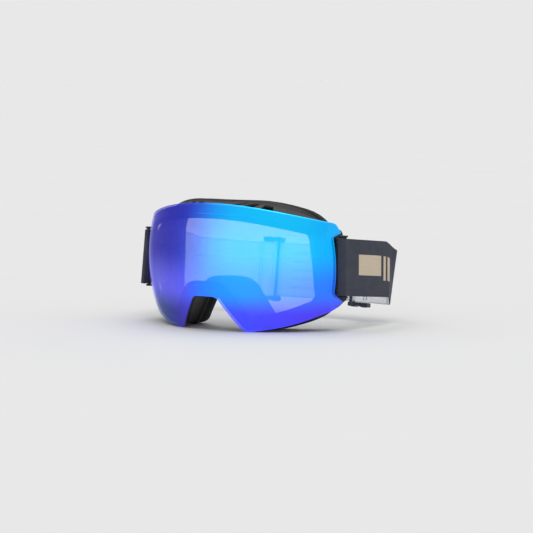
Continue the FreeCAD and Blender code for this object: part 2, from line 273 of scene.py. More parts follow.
# ---------------------------------------------------------------- materials
class Shade:
    """A node material: a Principled shader with what feeds it."""

    def __init__(self, name):
        self.material = bpy.data.materials.new(name)
        self.material.use_nodes = True
        self.tree = self.material.node_tree
        self.shader = self.tree.nodes["Principled BSDF"]
        self.where = self.node("ShaderNodeTexCoord").outputs["Object"]

    def node(self, kind, inputs=None, **settings):
        made = self.tree.nodes.new(kind)
        for key, value in settings.items():
            setattr(made, key, value)
        for key, value in (inputs or {}).items():
            self.put(made.inputs[key], value)
        return made

    def put(self, socket, value):
        if isinstance(value, bpy.types.NodeSocket):
            self.tree.links.new(value, socket)
        else:
            socket.default_value = value

    def set(self, **inputs):
        for key, value in inputs.items():
            self.put(self.shader.inputs[key.replace("_", " ")], value)
        return self

    def math(self, operation, a, b=0.0, c=0.0):
        return self.node("ShaderNodeMath", {0: a, 1: b, 2: c}, operation=operation).outputs[0]

    def axis(self, name, vector=None):
        return self.node("ShaderNodeSeparateXYZ", {0: vector or self.where}).outputs[name]

    def noise(self, scale, detail=3.0, vector=None, roughness=0.5):
        inputs = {"Vector": vector or self.where, "Scale": scale, "Detail": detail, "Roughness": roughness}
        return self.node("ShaderNodeTexNoise", inputs).outputs["Fac"]

    def cells(self, scale, feature="F1", vector=None):
        inputs = {"Vector": vector or self.where, "Scale": scale}
        return self.node("ShaderNodeTexVoronoi", inputs, feature=feature).outputs["Distance"]

    def stretched(self, scale):
        """The object's coordinates, scaled separately along each axis."""
        return self.node("ShaderNodeVectorMath", {0: self.where, 1: scale}, operation="MULTIPLY").outputs[0]

    def spread(self, value, a, b, c, d):
        """value's range a to b as c to d."""
        keys = {"Value": value, "From Min": a, "From Max": b, "To Min": c, "To Max": d}
        return self.node("ShaderNodeMapRange", keys).outputs["Result"]

    def mix(self, amount, a, b, blend="MIX"):
        made = self.node("ShaderNodeMix", data_type="RGBA", blend_type=blend)
        for index, value in ((0, amount), (6, a), (7, b)):
            self.put(made.inputs[index], value)
        return made.outputs[2]

    def ramp(self, value, stops, ease="LINEAR"):
        made = self.node("ShaderNodeValToRGB", {0: value})
        made.color_ramp.interpolation = ease
        elements = made.color_ramp.elements
        while len(elements) < len(stops):
            elements.new(0.5)
        for element, (position, colour) in zip(elements, stops):
            element.position = position
            element.color = rgba(colour)
        return made.outputs[0]

    def bump(self, height, strength, distance):
        inputs = {"Height": height, "Strength": strength, "Distance": distance * MM}
        self.set(Normal=self.node("ShaderNodeBump", inputs).outputs[0])
        return self


def rgba(colour):
    return (*colour, 1.0)


def srgb(r, g, b):
    """A 0 to 255 screen colour as the shader's linear one."""
    return tuple(((c / 255 + 0.055) / 1.055) ** 2.4 if c > 10 else c / 255 / 12.92 for c in (r, g, b))


# The coating's colours in three rows, top to bottom, each from the wearer's right edge to the left one. They
# hold a painted reflection of the studio: the paler, brighter middle row and the darker top row are light from
# floor and sky painted in, and the hues, which the real coating shifts with the angle of view, are painted
# fixed in place.
COATING_AND_REFLECTION = {
    20.0: [(0.0, (60, 48, 150)), (0.14, (60, 52, 155)), (0.28, (40, 38, 160)), (0.38, (44, 52, 185)),
           (0.47, (40, 96, 226)), (0.56, (14, 160, 252)), (0.65, (8, 190, 255)), (0.9, (10, 195, 250)),
           (1.0, (0, 165, 250))],
    -20.0: [(0.0, (112, 108, 205)), (0.2, (104, 104, 212)), (0.3, (92, 86, 220)), (0.4, (80, 88, 238)),
            (0.48, (46, 112, 255)), (0.64, (24, 160, 255)), (0.82, (40, 150, 255)), (1.0, (44, 110, 255))],
    -44.0: [(0.0, (66, 92, 110)), (0.2, (70, 84, 120)), (0.3, (60, 66, 140)), (0.4, (70, 52, 185)),
            (0.6, (66, 84, 252)), (0.75, (78, 80, 255)), (1.0, (84, 56, 236))],
}


def glowing_mirror_coating():
    """Blue multilayer mirror: indigo to the wearer's right, cyan left of centre, violet along the bottom, with
    a painted reflection of the studio in these colours and a painted glow.
    """
    shade = Shade("glowing_mirror_coating")
    x = shade.spread(shade.axis("X"), -0.089, 0.089, 0, 1)
    z = shade.spread(shade.axis("Z"), here((0, 0, -44.0)).z, here((0, 0, 20.0)).z, 0, 1)
    sway = shade.spread(shade.noise(9, 1.0), 0.3, 0.7, -0.02, 0.02)
    streaks = shade.spread(shade.noise(1.0, 2.0, shade.stretched((60, 60, 9))), 0.3, 0.7, -0.012, 0.012)
    place = shade.math("ADD", x, shade.math("ADD", sway, streaks))
    # The rows carry painted reflection: paler and brighter at mid height, darker at the top.
    rows = [shade.ramp(place, [(t, srgb(*c)) for t, c in stops], "B_SPLINE") for stops in COATING_AND_REFLECTION.values()]
    high = shade.ramp(z, [(0.375, (0, 0, 0)), (0.85, (1, 1, 1))], "EASE")
    low = shade.ramp(z, [(0.05, (0, 0, 0)), (0.36, (1, 1, 1))], "EASE")
    colour = shade.mix(high, shade.mix(low, rows[2], rows[1]), rows[0])
    wipe = shade.spread(shade.noise(40, 4.0), 0.3, 0.7, 0.03, 0.07)
    # Emission in the coating's own colour: a painted glow, though the lens is no lamp.
    shade.set(Base_Color=colour, Metallic=0.85, Roughness=wipe, Alpha=0.66, Specular_IOR_Level=0.4,
              Specular_Tint=rgba((0.3, 0.35, 0.8)), Coat_Weight=0.2, Coat_Roughness=0.03,
              Emission_Color=colour, Emission_Strength=0.8)
    return shade.material


def lens_tint():
    """The lens's back: clear tinted polycarbonate, through which the coating shows faintly blue."""
    shade = Shade("lens_tint")
    wipe = shade.spread(shade.noise(55, 3.0), 0.3, 0.7, 0.03, 0.08)
    tone = shade.mix(shade.noise(12, 1.0), rgba(srgb(70, 74, 96)), rgba(srgb(82, 86, 110)))
    shade.set(Base_Color=tone, Roughness=wipe, Alpha=0.16, IOR=1.58)
    return shade.material


def clear_pane():
    shade = Shade("clear_pane")
    wipe = shade.spread(shade.noise(60, 3.0), 0.3, 0.7, 0.04, 0.09)
    shade.set(Base_Color=rgba(srgb(205, 215, 222)), Roughness=wipe, Alpha=0.12, IOR=1.58)
    return shade.material


def moulding(name, colour, roughness, grain=0.12, scale=2600.0, marks=0.25):
    """Moulded plastic or rubber: spark grain, a faint cast in its colour, and smears in its gloss."""
    shade = Shade(name)
    dust = shade.noise(90, 5.0, roughness=0.6)
    pale = tuple(c * 1.5 + 0.01 for c in colour)
    tone = shade.mix(shade.spread(dust, 0.35, 0.75, 0, marks), rgba(colour), rgba(pale))
    gloss = shade.spread(shade.noise(35, 4.0), 0.3, 0.7, roughness - 0.07, roughness + 0.08)
    height = shade.math("ADD", shade.noise(scale, 2.0), shade.cells(scale * 0.6))
    shade.set(Base_Color=tone, Roughness=gloss, Specular_IOR_Level=0.45)
    return shade.bump(height, 0.5, grain).material


def foam(name, colour, cell, depth):
    """Open-cell foam: pits between cells, a little lighter on their walls."""
    shade = Shade(name)
    pits = shade.cells(cell)
    fine = shade.noise(cell * 2.2, 3.0)
    walls = shade.spread(pits, 0.1, 0.6, 1, 0)
    pale = tuple(c * 1.9 + 0.012 for c in colour)
    tone = shade.mix(shade.math("MULTIPLY", walls, shade.noise(120, 2.0)), rgba(colour), rgba(pale))
    shade.set(Base_Color=tone, Roughness=0.95, Specular_IOR_Level=0.2)
    return shade.bump(shade.math("ADD", shade.spread(pits, 0, 0.6, 0, 1), fine), 0.8, depth).material


def fleece():
    """Brushed microfleece: a short curled pile with a sheen on its edges."""
    shade = Shade("fleece")
    curl = shade.noise(1500, 5.0, shade.stretched((1.0, 0.45, 1.0)), 0.7)
    tufts = shade.noise(420, 3.0)
    tone = shade.mix(shade.spread(curl, 0.35, 0.7, 0, 1), rgba(srgb(22, 22, 25)), rgba(srgb(62, 62, 68)))
    shade.set(Base_Color=tone, Roughness=1.0, Specular_IOR_Level=0.15, Sheen_Weight=0.5, Sheen_Roughness=0.5,
              Sheen_Tint=rgba(srgb(150, 150, 160)))
    return shade.bump(shade.math("ADD", curl, tufts), 0.9, 0.35).material


def nickel():
    shade = Shade("nickel")
    swirl = shade.noise(700, 3.0)
    shade.set(Base_Color=rgba(srgb(196, 194, 190)), Metallic=1.0,
              Roughness=shade.spread(swirl, 0.3, 0.7, 0.18, 0.34))
    return shade.bump(swirl, 0.2, 0.02).material


def silicone():
    shade = Shade("silicone")
    haze = shade.noise(260, 3.0)
    shade.set(Base_Color=rgba(srgb(214, 217, 220)), Roughness=shade.spread(haze, 0.3, 0.7, 0.22, 0.38),
              Specular_IOR_Level=0.4, Alpha=0.2)
    return shade.bump(haze, 0.2, 0.05).material


def webbing():
    """Printed elastic webbing: ribbed weave, slate face with a plain pale motif, silver-grey back, whose faint
    glow is painted light that lifts it out of the strap's shade.
    """
    shade = Shade("webbing")
    read = lambda name: shade.node("ShaderNodeAttribute", attribute_name=name).outputs["Fac"]
    along, across, side = read("along"), read("across"), read("side")
    rib = shade.math("SINE", shade.math("MULTIPLY", across, 2 * math.pi / 1.35))
    pick = shade.math("SINE", shade.math("MULTIPLY", along, 2 * math.pi / 0.75))
    weave = shade.math("MULTIPLY", rib, pick)
    grid = shade.node("ShaderNodeCombineXYZ", {0: along, 1: across, 2: side}).outputs[0]
    yarn = shade.noise(3.2, 3.0, grid)
    cloud = shade.noise(0.09, 3.0, grid)
    slate = shade.mix(shade.spread(cloud, 0.3, 0.7, 0, 1), rgba(srgb(44, 47, 59)), rgba(srgb(56, 60, 73)))
    slate = shade.mix(shade.spread(yarn, 0.25, 0.75, 0, 0.45), slate, rgba(srgb(72, 75, 88)))
    silver = shade.mix(shade.spread(yarn, 0.25, 0.75, 0, 1),
                       rgba(srgb(216, 219, 222)), rgba(srgb(244, 245, 246)))
    sand = shade.mix(shade.spread(yarn, 0.3, 0.7, 0, 1), rgba(srgb(196, 180, 156)), rgba(srgb(216, 201, 178)))

    def inside(value, low, high):
        above = shade.math("GREATER_THAN", value, low)
        return shade.math("MULTIPLY", above, shade.math("LESS_THAN", value, high))

    def box(a0, a1, c0, c1):
        return shade.math("MULTIPLY", inside(along, a0, a1), inside(across, c0, c1))

    # The motif: a plain block with two bars beside it.
    block = box(16.4, 49.2, -5.5, 10.4)
    bars = shade.math("ADD", box(53.0, 56.6, -9.0, 10.0), box(59.4, 63.0, -9.0, 10.0))
    face_side = shade.math("GREATER_THAN", side, -0.2)
    printed = shade.math("MULTIPLY", shade.math("ADD", block, bars), shade.math("GREATER_THAN", side, 0.5))
    tone = shade.mix(face_side, silver, slate)
    tone = shade.mix(printed, tone, sand)
    edge = shade.spread(shade.math("ABSOLUTE", across), 20.6, 21.6, 0, 0.55)
    tone = shade.mix(edge, tone, rgba(srgb(44, 46, 58)))
    height = shade.math("ADD", shade.math("MULTIPLY", weave, 0.35), shade.math("ADD", rib, yarn))
    # The silver back gets a faint emission: a painted glow that brightens it where the strap shades it.
    shade.set(Base_Color=tone, Roughness=shade.spread(yarn, 0.3, 0.7, 0.62, 0.8), Specular_IOR_Level=0.3,
              Sheen_Weight=0.25, Sheen_Roughness=0.4, Sheen_Tint=rgba(srgb(170, 175, 190)),
              Emission_Color=shade.mix(face_side, silver, rgba((0, 0, 0))), Emission_Strength=0.16)
    return shade.bump(height, 0.55, 0.12).material


def thread():
    shade = Shade("thread")
    twist = shade.noise(2400, 2.0)
    tone = shade.mix(twist, rgba(srgb(40, 42, 54)), rgba(srgb(92, 94, 108)))
    shade.set(Base_Color=tone, Roughness=0.75, Specular_IOR_Level=0.3)
    return shade.bump(twist, 0.5, 0.06).material


MIRROR, LENS_TINT, PANE, NICKEL, SILICONE = glowing_mirror_coating(), lens_tint(), clear_pane(), nickel(), silicone()
RUBBER = moulding("frame_rubber", srgb(27, 26, 26), 0.5, 0.05)
CARRIER = moulding("carrier_plastic", srgb(17, 17, 19), 0.42, 0.04)
OUTRIGGER = moulding("outrigger_plastic", srgb(20, 20, 22), 0.42, 0.05)
SLIDER = moulding("slider_plastic", srgb(56, 60, 76), 0.45, 0.05)
GASKET = foam("spacer_foam", srgb(34, 34, 37), 1400, 0.1)
VENT_FOAM = foam("vent_foam", srgb(36, 36, 38), 620, 0.4)
BASE_FOAM = foam("base_foam", srgb(30, 30, 32), 900, 0.3)
MIDDLE_FOAM = foam("middle_foam", srgb(58, 58, 62), 1500, 0.15)
FLEECE_PILE, WEBBING, THREAD = fleece(), webbing(), thread()


# ---------------------------------------------------------------- lens assembly
def pane(name, half, inset, depth, thickness, rim, spacing=2.4):
    """A curved sheet of lens with a rounded rim: even triangles inside, loops round the edge.

    Also gives the first of the back's faces, which come last.
    """
    rows, count = 7, len(loop(half))
    verts = []
    for k in range(rows):
        t = math.pi * k / (rows - 1)
        surface = on_lens(depth + thickness / 2 * (1 - math.cos(t)))
        verts += [(x, surface(x, z), z) for x, z in loop(half, inset + rim * (1 - math.sin(t)))]
    faces = ring_faces(rows, count, closed=False)
    edge = [Vector(p) for p in loop(half, inset + rim)]
    grid = []
    for i in range(-38, 39):
        for j in range(-28, 25):
            p = Vector((i * spacing + (j % 2) * spacing / 2, j * spacing * 0.87))
            if within(p, edge) and min((p - q).length for q in edge) > spacing * 0.6:
                grid.append(p)
    flat, _, tris, _, _, _ = delaunay_2d_cdt(
        edge + grid, [(k, (k + 1) % count) for k in range(count)], [], 1, 1e-5)
    normals = {}
    for first, at_depth, facing in ((0, depth, 1), ((rows - 1) * count, depth + thickness, -1)):
        surface = on_lens(at_depth)
        number = {}
        for i, p in enumerate(flat):
            if i < count:
                number[i] = first + i
            else:
                number[i] = len(verts)
                verts.append((p.x, surface(p.x, p.y), p.y))
            normals[number[i]] = facing * lens_normal(p.x, p.y)
        back = len(faces)
        faces += [tuple(number[i] for i in tri) for tri in tris]
    obj = new_object(name, verts, faces)
    custom = [normals.get(i) or vertex.normal.copy() for i, vertex in enumerate(obj.data.vertices)]
    obj.data.normals_split_custom_set_from_vertices(custom)
    return obj, back


def within(p, polygon):
    inside = False
    for a, b in zip(polygon, polygon[1:] + polygon[:1]):
        if (a.y > p.y) != (b.y > p.y) and p.x < (b.x - a.x) * (p.y - a.y) / (b.y - a.y) + a.x:
            inside = not inside
    return inside


CARRIER_SIDE_X = 82.4


def carrier():
    """The stiff ring glued behind the lens, cut short at the sides. Magnets lie almost flush in its back."""
    section, _ = rounded([(1.2, 1.7, 0.3), (1.2, 5.1, 0.5), (8.0, 5.1, 0.5), (8.0, 1.7, 0.3)], True, step=0.8)
    verts = []
    for inset, depth in section:
        surface = on_lens(depth)
        for x, z in loop(LENS, inset):
            x = math.copysign(min(abs(x), CARRIER_SIDE_X - 0.1 * inset), x)
            verts.append((x, surface(x, z), z))
    obj = new_object("carrier_ring", verts, ring_faces(len(section), len(loop(LENS))))
    return finish_piece(obj, "lens", CARRIER, ["lens_carrier"])


def lens_assembly():
    outer, back = pane("mirror_lens", NOTCHED, 0.0, 0.0, LENS_T, 0.7)
    finish_piece(outer, "lens", MIRROR, ["outer_lens"])
    outer.data.materials.append(LENS_TINT)
    for face in outer.data.polygons[back:]:
        face.material_index = 1
    carrier()
    inner, _ = pane("inner_pane", LENS, 8.3, INNER_LENS_DEPTH, INNER_LENS_T, 0.3, 3.2)
    finish_piece(inner, "lens", PANE, ["inner_lens"])
    for node, material in (
        ("lens_spacer", GASKET), ("lens_magnets", NICKEL), ("frame_magnets", NICKEL),
        ("hinge_pin_left", NICKEL), ("hinge_pin_right", NICKEL),
    ):
        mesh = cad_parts[node].data
        mesh.materials.clear()
        mesh.materials.append(material)


# ---------------------------------------------------------------- rings round the face
def ring(name, stations, part=None):
    """A closed ring. Stations go round its section, each as (mix of lens and face outline, inset, surface).

    part keeps only the stretches of the outline whose (x, z) it accepts, and closes their ends.
    """
    reference = loop(LENS)
    rows, count = len(stations), len(reference)
    verts = []
    for mix, inset, surface in stations:
        verts += [(x, surface(x, z), z) for x, z in loop(LENS, inset, FACE, mix)]
    faces = ring_faces(rows, count)
    if part:
        keep = [part(x, z) for x, z in reference]
        faces = [f for f in faces if keep[f[0] % count] and keep[f[1] % count]]
        for k in range(count):
            if keep[k] and (not keep[k - 1] or not keep[(k + 1) % count]):
                faces.append(tuple(j * count + k for j in range(rows)))
        used = sorted({i for f in faces for i in f})
        number = {old: new for new, old in enumerate(used)}
        verts = [verts[i] for i in used]
        faces = [tuple(number[i] for i in f) for f in faces]
    return new_object(name, verts, faces)


def pad_section(inset0, inset1, y0, y1, round_r, crown=0.0, tuck=0.0):
    """A rounded rectangle in (inset, y) with a crowned back, as stations on the face outline."""
    corners = [(inset, y, round_r) for inset, y in
               ((inset0 + tuck, y0), (inset0, y1), (inset1, y1), (inset1 - tuck, y0))]
    points, _ = rounded(corners, True, step=0.9)
    stations = []
    for inset, y in points:
        t = (inset - inset0) / (inset1 - inset0)
        lift = crown * math.sin(math.pi * min(max(t, 0), 1)) * max(0.0, (y - y0) / (y1 - y0))
        stations.append((1.0, inset, on_face(y + lift)))
    return stations


POCKET_X, POCKET_Z, POCKET_Y = 83.0, (-28.6, 22.2), (40.0, 64.2)


def ease(value, low, high):
    t = min(max((value - low) / (high - low), 0.0), 1.0)
    return t * t * (3 - 2 * t)


def pocketed(limit):
    """Presses the wall in beside the outrigger, so that it is never further out than limit there."""
    def shape(v):
        x, y, z = v
        deep = ease(z, POCKET_Z[0] - 3.0, POCKET_Z[0] - 0.4)
        deep *= 1 - ease(z, POCKET_Z[1] + 0.4, POCKET_Z[1] + 3.0)
        deep *= 1 - ease(y, POCKET_Y[1] + 0.6, POCKET_Y[1] + 5.0)
        if abs(x) > limit:
            x = math.copysign(abs(x) + (limit - abs(x)) * deep, x)
        return x, y, z
    return shape


def tucked(v):
    """Draws the wall's upper corners in behind the lens's."""
    x, y, z = v
    over = abs(x) - 77.0
    if over > 0:
        x = math.copysign(77.0 + over * (1 - 0.62 * ease(z, 19.5, 26.5)), x)
    return x, y, z


VENTS_TOP, VENTS_LOW, VENT_HALF = (8.5, 25.5, 42.5), (38.0, 52.0), 6.0


def vented(bm, count, outer_rows, inner_rows):
    """Opens the slots: drops the wall's faces over each and closes the cut between its two skins."""
    bm.verts.ensure_lookup_table()
    reference = loop(LENS)
    spans = []
    for centre, top in [(x, True) for x in VENTS_TOP] + [(x, False) for x in VENTS_LOW]:
        for side in (1, -1):
            inside = [k for k, (x, z) in enumerate(reference)
                      if abs(x - side * centre) < VENT_HALF and (z > 20 if top else z < -30)]
            spans.append((min(inside), max(inside)))
    gone, walls = [], []
    for first, last in spans:
        for rows in (outer_rows, inner_rows):
            for j in range(len(rows) - 1):
                for k in range(first, last):
                    corner = {rows[j] * count + k, rows[j] * count + k + 1,
                              rows[j + 1] * count + k, rows[j + 1] * count + k + 1}
                    gone.append(frozenset(corner))
        edge = [(0, k) for k in range(first, last + 1)]
        edge += [(j, last) for j in range(1, len(outer_rows))]
        edge += [(len(outer_rows) - 1, k) for k in range(last - 1, first - 1, -1)]
        edge += [(j, first) for j in range(len(outer_rows) - 2, 0, -1)]
        for (j0, k0), (j1, k1) in zip(edge, edge[1:] + edge[:1]):
            walls.append((outer_rows[j0] * count + k0, outer_rows[j1] * count + k1,
                          inner_rows[j1] * count + k1, inner_rows[j0] * count + k0))
    gone = set(gone)
    dropped = [f for f in bm.faces if frozenset(v.index for v in f.verts) in gone]
    bmesh.ops.delete(bm, geom=dropped, context="FACES_ONLY")
    for wall in walls:
        bm.faces.new([bm.verts[i] for i in wall])


def moulded_frame():
    """The frame: the lens's seat, a wall that turns from the lens's outline into the face's, and a flange."""
    seat, flange = on_lens(SEAT_DEPTH), on_face(FLANGE_Y)
    outer = [(0.0, 2.2, on_lens(SEAT_DEPTH + 0.2)), (0.0, 2.0, on_lens(SEAT_DEPTH + 0.8))]
    outer += [(0.02, 2.0, between(seat, flange, 0.16)), (0.12, 2.3, between(seat, flange, 0.26))]
    outer += [(m, 2.6 - 0.9 * m, between(seat, flange, t)) for m, t in ((0.28, 0.4), (0.46, 0.55), (0.64, 0.7),
                                                                      (0.82, 0.85), (0.94, 0.95))]
    lip = [(1.0, 0.3, on_face(FLANGE_Y + 0.1)), (1.0, 0.0, on_face(FLANGE_Y + 0.6)),
           (1.0, 0.0, on_face(FLANGE_Y + FLANGE_T - 0.5)), (1.0, 0.5, on_face(FLANGE_Y + FLANGE_T))]
    back = [(1.0, i, on_face(FLANGE_Y + FLANGE_T)) for i in (4.0, 8.0, FOAM_WIDTH - 0.5)]
    back += [(1.0, FOAM_WIDTH, on_face(FLANGE_Y + FLANGE_T - 0.5)), (1.0, FOAM_WIDTH, on_face(FLANGE_Y + 0.5)),
             (1.0, FOAM_WIDTH - 0.5, on_face(FLANGE_Y)), (1.0, 8.0, on_face(FLANGE_Y - 0.1))]
    inner = [(m, inset, between(seat, flange, t)) for m, inset, t in (
        (0.94, 5.2, 0.93), (0.82, 4.6, 0.86), (0.64, 4.6, 0.72), (0.46, 4.7, 0.57), (0.28, 4.7, 0.42),
        (0.12, 4.6, 0.3), (0.02, 4.4, 0.24))]
    front = [(0.0, 4.6, on_lens(SEAT_DEPTH + SEAT_T)), (0.0, 7.4, on_lens(SEAT_DEPTH + SEAT_T)),
             (0.0, 8.0, on_lens(SEAT_DEPTH + SEAT_T - 0.6)), (0.0, 8.0, on_lens(SEAT_DEPTH + 0.5)),
             (0.0, 7.5, seat), (0.0, 5.0, seat), (0.0, 2.8, seat)]
    stations = outer + lip + back + inner + front
    obj = ring("frame_moulding", stations)
    count = len(loop(LENS))
    bm = bmesh.new()
    bm.from_mesh(obj.data)
    outer_rows = [3, 4, 5, 6, 7]
    first_inner = len(outer) + len(lip) + len(back)
    inner_rows = [first_inner + 5, first_inner + 4, first_inner + 3, first_inner + 2, first_inner + 1]
    bm.verts.ensure_lookup_table()
    vented(bm, count, outer_rows, inner_rows)
    limits = {}
    outside, inside = range(len(outer) + len(lip)), range(first_inner, first_inner + len(inner))
    for rows, limit in ((outside, POCKET_X), (inside, POCKET_X - 2.2)):
        for j in rows:
            for k in range(count):
                limits[j * count + k] = limit
    for vertex in bm.verts:
        local = tuple((vertex.co - HOME) / MM)
        if vertex.index in limits:
            local = pocketed(limits[vertex.index])(local)
        vertex.co = here(tucked(local))
    bmesh.ops.recalc_face_normals(bm, faces=bm.faces)
    bm.to_mesh(obj.data)
    bm.free()
    obj.data.polygons.foreach_set("use_smooth", [True] * len(obj.data.polygons))
    soft = obj.modifiers.new("soft", "SUBSURF")
    soft.levels = soft.render_levels = 1
    apply_modifiers(obj)
    return finish_piece(obj, "goggles", RUBBER, ["frame"])


SWELL_LIMIT = 0.6
SWELL_FRAMES = 20
CLOTH_SCALE = 10.0  # the cloth solver is steadier on a larger copy


def swollen(obj, held_y):
    """Lets a padded ring swell as a cloth under slight pressure, held in front of held_y, where it is glued."""
    rest = [v.co.copy() for v in obj.data.vertices]
    held = []
    for vertex in obj.data.vertices:
        x, y, z = (vertex.co - HOME) / MM
        if y < on_face(held_y)(x, z):
            held.append(vertex.index)
        vertex.co *= CLOTH_SCALE
    pins = obj.vertex_groups.new(name="glued")
    pins.add(held, 1.0, "REPLACE")
    cloth = obj.modifiers.new("swell", "CLOTH")
    settings = cloth.settings
    settings.quality = 5
    settings.mass = 0.3
    settings.tension_stiffness = settings.compression_stiffness = 20.0
    settings.bending_stiffness = 1.0
    settings.use_pressure = True
    settings.uniform_pressure_force = 5.0
    settings.effector_weights.gravity = 0.0
    settings.vertex_group_mass = "glued"
    cloth.collision_settings.use_collision = False
    cloth.point_cache.frame_start, cloth.point_cache.frame_end = 1, SWELL_FRAMES
    scene = bpy.context.scene
    for step in range(1, SWELL_FRAMES + 1):
        scene.frame_set(step)
    apply_modifiers(obj)
    scene.frame_set(1)
    for vertex, home in zip(obj.data.vertices, rest):
        shift = vertex.co / CLOTH_SCALE - home
        if shift.length > SWELL_LIMIT * MM:
            shift *= SWELL_LIMIT * MM / shift.length
        vertex.co = home + shift
    obj.vertex_groups.clear()
    obj.data.polygons.foreach_set("use_smooth", [True] * len(obj.data.polygons))


def face_padding():
    base = ring("base_foam", pad_section(0.6, 11.1, *FOAM_BASE, 1.2, tuck=0.2))
    finish_piece(base, "goggles", BASE_FOAM, ["foam_base"])
    middle = ring("middle_foam", pad_section(0.8, 10.9, *FOAM_MIDDLE, 1.0))
    finish_piece(middle, "goggles", MIDDLE_FOAM, ["foam_middle"])
    lining = ring("fleece_face", pad_section(1.2, 10.5, FLEECE[0], FLEECE[1] - 0.3, 0.8, crown=0.6))
    swollen(lining, FLEECE[0] + 0.5)
    finish_piece(lining, "goggles", FLEECE_PILE, ["fleece_lining"])


def vent_padding():
    seat, flange = on_lens(SEAT_DEPTH + SEAT_T + 0.1), on_face(FLANGE_Y - 0.2)
    stations = []
    for inset, t in ((4.9, 0.02), (4.9, 0.25), (4.9, 0.5), (4.9, 0.75), (5.4, 0.9), (7.0, 0.9), (7.4, 0.75),
                     (7.4, 0.5), (7.4, 0.25), (7.0, 0.02)):
        mix = max(0.0, (t - 0.3) * 0.6)
        stations.append((mix, inset, between(seat, flange, t)))
    top = ring("vent_foam_strip_top", stations, part=lambda x, z: abs(x) < 52 and z > 20)
    finish_piece(top, "goggles", VENT_FOAM, ["vent_foam_top"])
    low = ring("vent_foam_strips_bottom", stations, part=lambda x, z: 29 < abs(x) < 61 and z < -28)
    finish_piece(low, "goggles", VENT_FOAM, ["vent_foam_bottom"])


# ---------------------------------------------------------------- outriggers
def copy_of(node):
    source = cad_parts[node]
    obj = bpy.data.objects.new(node + "_copy", source.data.copy())
    bpy.context.scene.collection.objects.link(obj)
    return obj


def lugs():
    """The frame's two lugs a side, which hold the hinge pins."""
    heights = (STRAP_Z - WEB_W / 2 + 1.2 + LUG_T / 2, STRAP_Z + WEB_W / 2 - 2.7 + LUG_T / 2)
    bm = bmesh.new()
    for side in (1, -1):
        for z in heights:
            middle = here((side * PIN_X, PIN_Y, z))
            bmesh.ops.create_cone(bm, cap_ends=True, segments=40, radius1=LUG_R * MM, radius2=LUG_R * MM,
                                  depth=LUG_T * MM, matrix=Matrix.Translation(middle))
            block = Matrix.Translation(here((side * (PIN_X - LUG_REACH / 2), PIN_Y, z)))
            block = block @ Matrix.Diagonal((LUG_REACH * MM, 2 * LUG_R * MM, LUG_T * MM, 1))
            bmesh.ops.create_cube(bm, size=1.0, matrix=block)
    obj = moulded("frame_lugs", settle(bm, "lugs", 1), 0.22, 3)
    return finish_piece(obj, "goggles", RUBBER)


def outriggers():
    lugs()
    for side in ("left", "right"):
        obj = moulded("outrigger_arm_" + side, copy_of("outrigger_" + side), 0.2, 3)
        finish_piece(obj, "arm_" + side, OUTRIGGER, ["outrigger_" + side])


# ---------------------------------------------------------------- strap
SIDE_DROP, LEAN = math.tan(math.radians(5.4)), math.radians(8.0)
# The drop to the back run starts here at the strap's top edge and at its bottom edge, and ends at TURN_END.
TURN_TOP, TURN_LOW, TURN_END = 113.0, 117.0, 132.5
CREASE_Y, CREASE = 119.0, math.radians(12.0)
CREASE_R, TURN_R = 4.0, 7.0
BACK_RUN_X = 86.0  # nearer to the middle than this, the strap is on its back run
LOOP_SLACK = (1.4, 3.0)  # how much further in and forward the webbing runs round the bar than it has to
RETURN_X, RETURN_JOIN_Y = OUTER_X - LAYER_STEP, 100.0


def back_height(x):
    """The middle of the back run, which hangs a little lower towards the wearer's left."""
    return STRAP_Z - 12.3 - 1.4 * (x / 92.0) ** 3


def strap_height(x, y, high=0.5):
    """The webbing's middle; high goes from 0 at its lower edge to 1 at its upper one, which drops sooner."""
    side = STRAP_Z - 0.3 - (min(y, 120.0) - BAR_Y) * SIDE_DROP
    turned = ease(y, TURN_LOW + (TURN_TOP - TURN_LOW) * high, TURN_END)
    return side + (back_height(x) - side) * turned


